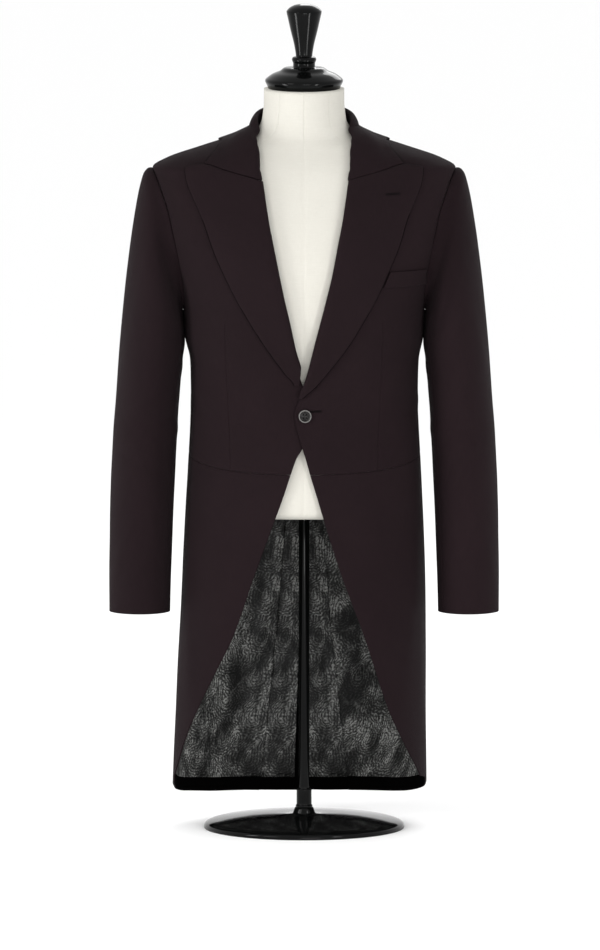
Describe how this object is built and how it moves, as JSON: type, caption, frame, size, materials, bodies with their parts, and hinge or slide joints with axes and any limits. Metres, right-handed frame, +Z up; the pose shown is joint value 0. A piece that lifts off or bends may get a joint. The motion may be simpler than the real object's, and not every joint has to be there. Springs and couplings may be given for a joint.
{
  "type": "morning coat on a limbless dress form",
  "caption": "Morning coat with peak lapels, a buttoned waist, cutaway fronts and lined tails, worn by a limbless dress form with a turned cap on a pole and round foot.",
  "frame": {"origin": "centre of the underside of the stand's foot, on the floor", "axes": "+Z up, -Y the front of the coat, +X the wearer's left"},
  "size_m": [0.582, 0.3083, 1.239],
  "materials": {
    "worsted": "charcoal black fine worsted, matt with a faint sheen",
    "lining": "black and grey satin jacquard",
    "horn": "polished dark grey horn",
    "linen": "cream linen jersey stretched over the form",
    "lacquered_wood": "turned wood in high-gloss black lacquer",
    "lacquered_steel": "gloss black enamel"
  },
  "bodies": {
    "root": {"forepart_right": "worsted", "forepart_left": "worsted", "side_body_right": "worsted", "side_body_left": "worsted", "back_right": "worsted", "back_left": "worsted", "skirt_right": "worsted", "skirt_left": "worsted", "lapel_right": "worsted", "lapel_left": "worsted", "collar": "worsted", "top_sleeve_right": "worsted", "top_sleeve_left": "worsted", "under_sleeve_right": "worsted", "under_sleeve_left": "worsted", "breast_welt": "worsted", "skirt_lining_right": "lining", "skirt_lining_left": "lining", "tail_lining_right": "lining", "tail_lining_left": "lining", "front_button": "horn", "waist_button_right": "horn", "waist_button_left": "horn", "bust": "linen", "neck_cap": "lacquered_wood", "pole": "lacquered_steel", "foot": "lacquered_steel"}
  },
  "joints": []
}
